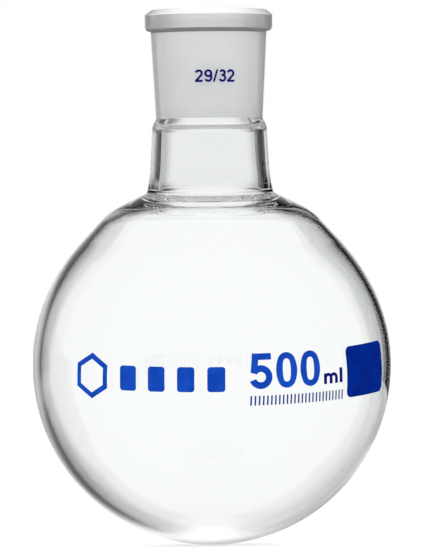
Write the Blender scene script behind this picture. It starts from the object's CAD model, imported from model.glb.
import math

import bpy
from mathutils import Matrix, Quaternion, Vector


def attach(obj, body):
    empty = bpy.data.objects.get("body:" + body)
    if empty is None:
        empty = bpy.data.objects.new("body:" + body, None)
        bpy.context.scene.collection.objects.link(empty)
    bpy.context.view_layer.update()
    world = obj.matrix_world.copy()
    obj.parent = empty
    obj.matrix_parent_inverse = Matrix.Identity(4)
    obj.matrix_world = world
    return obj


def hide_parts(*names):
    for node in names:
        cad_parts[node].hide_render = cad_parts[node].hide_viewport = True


MM = 0.001
GLASS_IOR = 1.473
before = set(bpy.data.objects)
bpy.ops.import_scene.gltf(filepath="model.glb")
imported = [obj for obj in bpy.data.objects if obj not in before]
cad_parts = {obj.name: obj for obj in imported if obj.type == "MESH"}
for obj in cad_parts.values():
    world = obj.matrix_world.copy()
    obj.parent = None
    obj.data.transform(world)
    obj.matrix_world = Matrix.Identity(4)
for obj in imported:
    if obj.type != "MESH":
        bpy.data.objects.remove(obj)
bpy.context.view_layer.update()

# ---------------------------------------------------------------- shape of the glass, in mm
BULB_R = 52.5
BULB_INNER_R = 50.3
TURNS = 224
SEAMS = {
    "base": -1.0, "shoulder": 103.1, "seal_low": 121.3,
    "seal_high": 124.5, "bead": 150.3, "mouth": 157.0,
}


def arc_points(centre_r, centre_z, radius, start, stop, count):
    """Points on a circle in the (radius, height) half plane; angles in degrees from straight down."""
    made = []
    for i in range(count + 1):
        a = math.radians(start + (stop - start) * i / count)
        made.append((centre_r + radius * math.sin(a), centre_z - radius * math.cos(a)))
    return made


def curve_between(first, last, radius, count):
    """Points of the short arc from first to last; positive radius puts its centre on the left."""
    (x1, y1), (x2, y2) = first, last
    chord = math.hypot(x2 - x1, y2 - y1)
    reach = math.sqrt(radius * radius - chord * chord / 4)
    side = 1 if radius > 0 else -1
    cx = (x1 + x2) / 2 - (y2 - y1) / chord * reach * side
    cy = (y1 + y2) / 2 + (x2 - x1) / chord * reach * side
    a1 = math.atan2(y1 - cy, x1 - cx)
    a2 = math.atan2(y2 - cy, x2 - cx)
    turn = (a2 - a1 + math.pi) % (2 * math.pi) - math.pi
    size = abs(radius)
    return [
        (cx + size * math.cos(a1 + turn * i / count), cy + size * math.sin(a1 + turn * i / count))
        for i in range(count + 1)
    ]


def soften(points, corner, radius, count=8):
    """The same path with the corner nearest to a point rounded to a radius."""
    i = min(range(len(points)), key=lambda k: math.dist(points[k], corner))
    p = Vector(points[i])
    before, after = i - 1, i + 1
    while before > 0 and (p - Vector(points[before])).length < radius * 1.2:
        before -= 1
    while after < len(points) - 1 and (p - Vector(points[after])).length < radius * 1.2:
        after += 1
    u = (Vector(points[before]) - p).normalized()
    v = (Vector(points[after]) - p).normalized()
    half = u.angle(v) / 2
    back = min(
        radius / math.tan(half),
        (Vector(points[before]) - p).length,
        (Vector(points[after]) - p).length,
    )
    a, b = p + u * back, p + v * back
    size = back * math.tan(half)
    sign = 1 if (u.x * v.y - u.y * v.x) < 0 else -1
    return points[: before + 1] + curve_between(tuple(a), tuple(b), size * sign, count) + points[after:]


def densify(points, step):
    """Adds points so that no run is longer than step."""
    made = [points[0]]
    for p, q in zip(points, points[1:]):
        length = math.dist(p, q)
        if length < 1e-6:
            continue
        parts = max(1, math.ceil(length / step))
        for i in range(1, parts + 1):
            made.append((p[0] + (q[0] - p[0]) * i / parts, p[1] + (q[1] - p[1]) * i / parts))
    return made


outer = arc_points(0, BULB_R, BULB_R, 0, 133, 120)
outer += curve_between((32.06, 95.1), (26.8, 99.05), 18.0, 14)
outer += [(18.6, 103.1)]
outer += curve_between((18.6, 103.1), (17.3, 112.5), -42.0, 14)[1:]
outer += [(16.83, 121.3)]
outer += curve_between((16.83, 121.3), (15.66, 124.5), 4.5, 12)[1:]
outer += [(17.03, 149.7), (16.8, 150.15), (17.4, 150.35)]
outer += curve_between((17.4, 150.35), (18.72, 151.6), 1.35, 12)[1:]
outer += [(18.72, 155.1), (16.8, 156.5), (14.6, 156.5)]
for corner, radius in (
    ((18.6, 103.1), 0.9),
    ((15.66, 124.5), 0.5),
    ((16.8, 150.15), 0.15),
    ((18.72, 155.1), 0.5),
    ((16.8, 156.5), 0.6),
):
    outer = soften(outer, corner, radius)

inner = arc_points(0, BULB_R, BULB_INNER_R, 0, 133, 120)
inner += curve_between((30.6, 93.75), (25.87, 97.16), 16.0, 14)
inner += [(17.1, 99.54)]
inner += curve_between((17.1, 99.54), (15.26, 101.75), -2.5, 20)[1:]
inner += [(14.4, 112.5), (14.0, 121.3)]
inner += curve_between((14.0, 121.3), (13.0, 122.3), 2.4, 10)[1:]
inner += [(13.0, 124.5), (14.6, 156.5)]
for corner, radius in (((14.0, 121.3), 0.5), ((13.0, 122.3), 0.4)):
    inner = soften(inner, corner, radius)


def with_seams(points):
    """Adds a point wherever the path crosses a seam height."""
    made = [points[0]]
    for p, q in zip(points, points[1:]):
        for z in sorted(SEAMS.values()):
            if p[1] < z - 1e-6 and q[1] > z + 1e-6:
                t = (z - p[1]) / (q[1] - p[1])
                made.append((p[0] + (q[0] - p[0]) * t, z))
        made.append(q)
    return made


def normals_of(points):
    """Smooth normals along a path, to the right of its way."""
    made = []
    for i, p in enumerate(points):
        a = Vector(points[max(i - 1, 0)])
        b = Vector(points[min(i + 1, len(points) - 1)])
        here = Vector(p)
        u, v = here - a, b - here
        if u.length < 1e-9:
            d = v.normalized()
        elif v.length < 1e-9:
            d = u.normalized()
        else:
            d = (u.normalized() * v.length + v.normalized() * u.length).normalized()
        made.append(Vector((d.y, -d.x)))
    return made


outer = with_seams(densify(outer, 1.4))
inner = with_seams(densify(inner, 1.4))
outer_n = normals_of(outer)
inner_n = normals_of(inner)


def inner_drift(r, z, angle):
    """How far the blown inner wall stands off its ideal line, in mm outwards."""
    body = math.exp(-((z - 52.0) / 42.0) ** 2)
    return (0.15 + 0.55 * math.cos(angle)) * body


def lathe(name, low, high, bands=()):
    """One glass piece between two seam heights: its outer wall and its inner wall.

    Each band (bottom, top, skin) gives the outer faces between two heights another skin.
    """
    verts, faces, normals, skins = [], [], [], []
    for path, path_n, inward in ((outer, outer_n, False), (inner, inner_n, True)):
        rows = [i for i, p in enumerate(path) if low - 1e-6 <= p[1] <= high + 1e-6]
        first = rows[0]
        rows = [i for i in rows if i == first or path[i] != path[i - 1]]
        rings = []
        for i in rows:
            r, z = path[i]
            n = path_n[i] * (-1 if inward else 1)
            if r < 1e-6:
                rings.append([len(verts)])
                verts.append((0, 0, z * MM))
                normals.append((0, 0, 1 if inward else -1))
                continue
            ring = []
            for k in range(TURNS):
                a = 2 * math.pi * k / TURNS
                rr = r + (inner_drift(r, z, a) * min(1.0, r / 20.0) if inward else 0.0)
                ring.append(len(verts))
                verts.append((rr * math.cos(a) * MM, rr * math.sin(a) * MM, z * MM))
                normals.append((n.x * math.cos(a), n.x * math.sin(a), n.y))
            rings.append(ring)
        for lo, hi in zip(rings, rings[1:]):
            middle = (verts[lo[0]][2] + verts[hi[0]][2]) / 2 / MM
            skin = 1 if inward else 0
            for bottom, top, other in bands:
                if not inward and bottom < middle < top:
                    skin = other
            for k in range(TURNS):
                skins.append(skin)
                m = (k + 1) % TURNS
                if len(lo) == 1:
                    face = (lo[0], hi[m], hi[k])
                else:
                    face = (lo[k], lo[m], hi[m], hi[k])
                faces.append(face[::-1] if inward else face)
    mesh = bpy.data.meshes.new(name)
    mesh.from_pydata(verts, [], faces)
    for polygon, skin in zip(mesh.polygons, skins):
        polygon.use_smooth = True
        polygon.material_index = skin
    mesh.normals_split_custom_set_from_vertices(normals)
    piece = bpy.data.objects.new(name, mesh)
    bpy.context.scene.collection.objects.link(piece)
    return piece


# ---------------------------------------------------------------- materials
def new_material(name):
    material = bpy.data.materials.new(name)
    material.use_nodes = True
    tree = material.node_tree
    shader = next(n for n in tree.nodes if n.type == "BSDF_PRINCIPLED")
    return material, tree, shader


def add(tree, kind, **values):
    node = tree.nodes.new(kind)
    for key, value in values.items():
        setattr(node, key, value)
    return node


def noise_node(tree, scale, detail):
    place = add(tree, "ShaderNodeTexCoord")
    noise = add(tree, "ShaderNodeTexNoise")
    noise.inputs["Scale"].default_value = scale
    noise.inputs["Detail"].default_value = detail
    tree.links.new(place.outputs["Object"], noise.inputs["Vector"])
    return noise


def bump_from(tree, shader, source, distance, strength=1.0):
    bump = add(tree, "ShaderNodeBump")
    bump.inputs["Distance"].default_value = distance
    bump.inputs["Strength"].default_value = strength
    tree.links.new(source, bump.inputs["Height"])
    tree.links.new(bump.outputs["Normal"], shader.inputs["Normal"])


def ramp(tree, source, stops):
    """A colour ramp with its stops given in order, as (place, colour)."""
    node = add(tree, "ShaderNodeValToRGB")
    elements = node.color_ramp.elements
    for element, (place, colour) in ((elements[0], stops[0]), (elements[1], stops[-1])):
        element.position = place
        element.color = (*colour, 1.0)
    for place, colour in stops[1:-1]:
        elements.new(place).color = (*colour, 1.0)
    tree.links.new(source, node.inputs["Fac"])
    return node


def multiply(tree, first, second):
    node = add(tree, "ShaderNodeMixRGB", blend_type="MULTIPLY")
    node.inputs["Fac"].default_value = 1.0
    tree.links.new(first, node.inputs["Color1"])
    tree.links.new(second, node.inputs["Color2"])
    return node.outputs["Color"]


def clear_glass(name, tint):
    material, tree, shader = new_material(name)
    shader.inputs["Base Color"].default_value = (*tint, 1.0)
    shader.inputs["Roughness"].default_value = 0.0
    shader.inputs["IOR"].default_value = GLASS_IOR
    shader.inputs["Transmission Weight"].default_value = 1.0
    waves = noise_node(tree, 22.0, 1.0)
    bump_from(tree, shader, waves.outputs["Fac"], 0.00015, 1.0)
    return material


# The heights in metres between which ground glass is shaded by height.
LIFT_FROM = 0.120
LIFT_TO = 0.160


def ground_glass(name, edge, lift, transmission=0.4):
    """Ground glass: edge shades it by how squarely it is seen, lift by its height in metres."""
    material, tree, shader = new_material(name)
    shader.inputs["IOR"].default_value = GLASS_IOR
    shader.inputs["Transmission Weight"].default_value = transmission
    shader.inputs["Roughness"].default_value = 0.6
    weight = add(tree, "ShaderNodeLayerWeight")
    weight.inputs["Blend"].default_value = 0.5
    rim = ramp(tree, weight.outputs["Facing"], [(at, (v, v, v * 1.01)) for at, v in edge])
    place = add(tree, "ShaderNodeTexCoord")
    split = add(tree, "ShaderNodeSeparateXYZ")
    tree.links.new(place.outputs["Object"], split.inputs["Vector"])
    height = add(tree, "ShaderNodeMapRange")
    height.inputs["From Min"].default_value = LIFT_FROM
    height.inputs["From Max"].default_value = LIFT_TO
    tree.links.new(split.outputs["Z"], height.inputs["Value"])
    stops = [((z - LIFT_FROM) / (LIFT_TO - LIFT_FROM), (v, v, v)) for z, v in lift]
    level = ramp(tree, height.outputs["Result"], stops)
    shaded = multiply(tree, rim.outputs["Color"], level.outputs["Color"])
    cloud = noise_node(tree, 90.0, 3.0)
    tint = ramp(tree, cloud.outputs["Fac"], ((0.3, (0.96, 0.96, 0.965)), (0.7, (1.0, 1.0, 1.0))))
    tree.links.new(multiply(tree, shaded, tint.outputs["Color"]), shader.inputs["Base Color"])
    grain = noise_node(tree, 5200.0, 2.0)
    bump_from(tree, shader, grain.outputs["Fac"], 0.00003, 0.6)
    return material


def enamel(name, low, high):
    material, tree, shader = new_material(name)
    cloud = noise_node(tree, 260.0, 3.0)
    tint = ramp(tree, cloud.outputs["Fac"], ((0.35, low), (0.65, high)))
    tree.links.new(tint.outputs["Color"], shader.inputs["Base Color"])
    shader.inputs["Roughness"].default_value = 0.38
    shader.inputs["Specular IOR Level"].default_value = 0.0
    grain = noise_node(tree, 2600.0, 2.0)
    bump_from(tree, shader, grain.outputs["Fac"], 0.00002, 0.5)
    return material


CLEAR = clear_glass("clear_glass", (0.985, 0.995, 0.995))
THICK = clear_glass("thick_glass", (0.915, 0.925, 0.925))
EVEN_LIFT = ((0.12, 1.0), (0.16, 1.0))
SOCKET_EDGE = ((0.08, 0.90), (0.18, 0.87), (0.27, 0.78), (0.35, 0.68))
RIM_EDGE = ((0.05, 1.0), (0.10, 0.93), (0.16, 0.80), (0.25, 0.69), (0.32, 0.60), (0.47, 0.56))
RIM_LIFT = ((0.12, 0.86), (0.1528, 0.86), (0.1550, 1.0), (0.16, 1.0))
GROUND = ground_glass("ground_glass", SOCKET_EDGE, EVEN_LIFT)
RIM_GROUND = ground_glass("ground_rim", RIM_EDGE, RIM_LIFT)
BEVEL = ground_glass(
    "polished_bevel",
    ((0.41, 1.0), (0.55, 0.92), (0.70, 0.70), (0.85, 0.45), (0.95, 0.35)),
    ((0.12, 0.62), (0.1541, 0.62), (0.1550, 0.80), (0.1558, 0.95), (0.16, 1.0)),
)
CREASE = ground_glass("tooled_crease", ((0.0, 0.16), (1.0, 0.16)), EVEN_LIFT, 0.2)
BLUE = enamel("blue_enamel", (0.004, 0.036, 0.27), (0.006, 0.048, 0.33))
INK = enamel("ink_enamel", (0.008, 0.030, 0.13), (0.011, 0.038, 0.16))
NAVY = enamel("navy_enamel", (0.003, 0.004, 0.080), (0.004, 0.006, 0.11))
PATCH = enamel("patch_enamel", (0.001, 0.010, 0.125), (0.001, 0.014, 0.170))

PIECES = (
    ("bulb", "base", "shoulder", (CLEAR, CLEAR), (), "clear_glass"),
    ("neck", "shoulder", "seal_low", (THICK, THICK), (), "clear_glass"),
    ("seal_ring", "seal_low", "seal_high", (CLEAR, CLEAR), (), "clear_glass"),
    ("ground_socket", "seal_high", "bead", (CLEAR, GROUND, CREASE), ((149.72, 150.3, 2),), "ground_glass"),
    (
        "rim_bead", "bead", "mouth", (CLEAR, RIM_GROUND, CREASE, BEVEL),
        ((150.3, 150.8, 2), (154.6, 157.0, 3)), "ground_glass",
    ),
)
for node, low, high, skins, bands, slot in PIECES:
    piece = lathe(node + "_glass", SEAMS[low], SEAMS[high], bands)
    for skin in skins:
        piece.data.materials.append(skin)
    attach(piece, "root")
    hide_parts(node)

MARKS = {
    "capacity_number": BLUE,
    "emblem_hexagon": BLUE,
    "emblem_blocks": BLUE,
    "unit_mark": NAVY,
    "ruled_line": INK,
    "joint_size_mark": NAVY,
    "marking_patch": PATCH,
}
for node, material in MARKS.items():
    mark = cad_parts[node]
    for place in mark.material_slots:
        place.link = "OBJECT"
        place.material = material

# ---------------------------------------------------------------- camera
AIM = Vector((2.2, 0.0, 77.5)) * MM
EYE = Vector((0.0, -2400.0, 61.0)) * MM
camera_data = bpy.data.cameras.new("camera")
camera_data.sensor_width = 36.0
camera_data.lens = 527.5
camera_data.clip_start = 0.05
camera_data.clip_end = 60.0
camera = bpy.data.objects.new("camera", camera_data)
bpy.context.scene.collection.objects.link(camera)
bpy.context.scene.camera = camera
camera.rotation_mode = "QUATERNION"
camera.location = EYE
roll = Quaternion((0.0, 0.0, 1.0), math.radians(-0.56))
camera.rotation_quaternion = (AIM - EYE).to_track_quat("-Z", "Y") @ roll

# ---------------------------------------------------------------- floor, card and light
def plane(name, width, height):
    mesh = bpy.data.meshes.new(name)
    w, h = width / 2, height / 2
    mesh.from_pydata([(-w, -h, 0), (w, -h, 0), (w, h, 0), (-w, h, 0)], [], [(0, 1, 2, 3)])
    made = bpy.data.objects.new(name, mesh)
    bpy.context.scene.collection.objects.link(made)
    return made


def for_glass_only(obj):
    """Keeps a card out of the picture and off the floor, so that only glass shows it."""
    obj.visible_camera = False
    obj.visible_diffuse = False
    obj.visible_shadow = False


floor = plane("floor", 60.0, 60.0)
floor.visible_transmission = False
floor.visible_glossy = False
floor_material = bpy.data.materials.new("floor")
floor_material.use_nodes = True
tree = floor_material.node_tree
tree.nodes.clear()
out = add(tree, "ShaderNodeOutputMaterial")
matt = add(tree, "ShaderNodeBsdfDiffuse")
matt.inputs["Color"].default_value = (1.0, 1.0, 1.0, 1.0)
lit = add(tree, "ShaderNodeEmission")
lit.inputs["Strength"].default_value = 0.2
both = add(tree, "ShaderNodeAddShader")
tree.links.new(matt.outputs[0], both.inputs[0])
tree.links.new(lit.outputs[0], both.inputs[1])
tree.links.new(both.outputs[0], out.inputs["Surface"])
floor.data.materials.append(floor_material)

# A wide lit card far behind the flask, seen only in its glass: bright in the middle, darker aside.
CARD_REACH = 8.0
CARD_SIZE = 14.0
EYE_REACH = 2.4
BRIGHTEST = 1.5
card = plane("card", CARD_SIZE, CARD_SIZE)
card.parent = camera
card.location = (0.0, 0.0, -CARD_REACH)
for_glass_only(card)
card_material = bpy.data.materials.new("card")
card_material.use_nodes = True
tree = card_material.node_tree
tree.nodes.clear()
out = add(tree, "ShaderNodeOutputMaterial")
glow = add(tree, "ShaderNodeEmission")
place = add(tree, "ShaderNodeTexCoord")
split = add(tree, "ShaderNodeSeparateXYZ")
tree.links.new(place.outputs["Object"], split.inputs["Vector"])


def shade_across(axis, greys):
    """A grey that changes with the angle off the view, as the flask sees the card."""
    span = add(tree, "ShaderNodeMapRange")
    span.inputs["From Min"].default_value = -CARD_SIZE / 2
    span.inputs["From Max"].default_value = CARD_SIZE / 2
    tree.links.new(split.outputs[axis], span.inputs["Value"])
    stops = []
    for angle, grey in greys:
        place = 0.5 + math.tan(math.radians(angle)) * (CARD_REACH - EYE_REACH) / CARD_SIZE
        level = grey / BRIGHTEST
        stops.append((place, (level, level, level)))
    return ramp(tree, span.outputs["Result"], stops).outputs["Color"]


def mix_colours(factor, first, second):
    node = add(tree, "ShaderNodeMixRGB")
    tree.links.new(factor, node.inputs["Fac"])
    tree.links.new(first, node.inputs["Color1"])
    tree.links.new(second, node.inputs["Color2"])
    return node.outputs["Color"]


# Level with the flask: lit in the middle and darker to each side, one band below and one above.
deep_band = shade_across("X", (
    (-50, 0.60), (-38, 0.45), (-31, 0.40), (-25, 0.42), (-20, 0.52), (-15, 0.74), (-12, 0.90),
    (-9, 0.98), (-6, 1.00), (6, 1.00), (9, 0.97), (12, 0.86), (16, 0.66), (23, 0.40), (50, 0.30),
))
level_band = shade_across("X", (
    (-50, 0.01), (-40, 0.01), (-35, 0.03), (-31, 0.14), (-27, 0.36), (-22, 0.52), (-17, 0.64),
    (-15, 0.76), (-12, 0.88), (-9, 1.01), (9, 1.01), (12, 0.90), (16, 0.76), (50, 0.50),
))
# Above hangs a wide soft box; below lies the lit table.
upright = shade_across("Y", (
    (-50, 1.45), (-35, 1.15), (-24, 1.0), (-16, 0.95), (16, 0.75), (24, 0.95), (32, 1.10), (50, 1.0),
))
rise = shade_across("Y", ((-8, 0.0), (-2, BRIGHTEST)))
beyond = shade_across("Y", (
    (-22, BRIGHTEST), (-13, BRIGHTEST * 0.5), (-8, 0.0), (14, 0.0), (26, BRIGHTEST),
))
level = mix_colours(rise, deep_band, level_band)
straight = mix_colours(beyond, level, upright)
# The corners are darker: black above on the right, grey on the left, light grey below on the right.
lower_corners = shade_across("X", (
    (-50, 0.12), (-17, 0.12), (-12, 0.38), (-7, 0.85), (6, 0.90), (12, 0.55), (50, 0.45),
))
upper_corners = shade_across("X", (
    (-50, 0.08), (-15, 0.10), (-10, 0.35), (-6, 0.70),
    (6, 0.70), (9.5, 0.42), (12, 0.10), (14, 0.02), (50, 0.02),
))
aside = shade_across("X", ((-9, BRIGHTEST), (-3, 0.0), (3, 0.0), (9, BRIGHTEST)))
aloft = shade_across("Y", ((-11, BRIGHTEST), (-5, 0.0), (5, 0.0), (11, BRIGHTEST)))
turned_up = shade_across("Y", ((-3, 0.0), (3, BRIGHTEST)))
corners = mix_colours(turned_up, lower_corners, upper_corners)
shown = mix_colours(multiply(tree, aside, aloft), straight, corners)
card_rays = add(tree, "ShaderNodeLightPath")
even = add(tree, "ShaderNodeMixRGB")
even.inputs["Color2"].default_value = (0.9, 0.9, 0.9, 1.0)
tree.links.new(card_rays.outputs["Diffuse Depth"], even.inputs["Fac"])
tree.links.new(shown, even.inputs["Color1"])
glow.inputs["Strength"].default_value = BRIGHTEST
tree.links.new(even.outputs["Color"], glow.inputs["Color"])
tree.links.new(glow.outputs[0], out.inputs["Surface"])
card.data.materials.append(card_material)

# A dark flag stands behind the flask on the right, near enough for its edge to shift on the glass.
flag = plane("flag", 0.300, 0.220)
flag.location = (0.252, 0.233, 0.140)
flag.rotation_euler = (math.radians(90), 0.0, 0.0)
for_glass_only(flag)
flag_material = bpy.data.materials.new("flag")
flag_material.use_nodes = True
tree = flag_material.node_tree
tree.nodes.clear()
out = add(tree, "ShaderNodeOutputMaterial")
dim = add(tree, "ShaderNodeEmission")
dim.inputs["Color"].default_value = (0.012, 0.013, 0.016, 1.0)
tree.links.new(dim.outputs[0], out.inputs["Surface"])
flag.data.materials.append(flag_material)

world = bpy.data.worlds.new("world")
bpy.context.scene.world = world
world.use_nodes = True
tree = world.node_tree
background = next(n for n in tree.nodes if n.type == "BACKGROUND")
rays = add(tree, "ShaderNodeLightPath")
seen = add(tree, "ShaderNodeMapRange")
seen.inputs["To Min"].default_value = 0.8
seen.inputs["To Max"].default_value = 1.0
floor_light = add(tree, "ShaderNodeMapRange")
floor_light.inputs["To Min"].default_value = 0.0
floor_light.inputs["To Max"].default_value = 1.55
strongest = add(tree, "ShaderNodeMath", operation="MAXIMUM")
tree.links.new(rays.outputs["Is Camera Ray"], seen.inputs["Value"])
tree.links.new(rays.outputs["Diffuse Depth"], floor_light.inputs["Value"])
tree.links.new(seen.outputs["Result"], strongest.inputs[0])
tree.links.new(floor_light.outputs["Result"], strongest.inputs[1])
tree.links.new(strongest.outputs[0], background.inputs["Strength"])
background.inputs["Color"].default_value = (1.0, 1.0, 1.0, 1.0)

scene = bpy.context.scene
scene.view_settings.view_transform = "Standard"
scene.view_settings.look = "None"
scene.cycles.use_denoising = True
scene.cycles.max_bounces = 24
scene.cycles.transmission_bounces = 20
scene.cycles.glossy_bounces = 10
scene.cycles.diffuse_bounces = 4
scene.cycles.transparent_max_bounces = 16
scene.cycles.caustics_reflective = True
scene.cycles.caustics_refractive = True

bpy.context.view_layer.update()
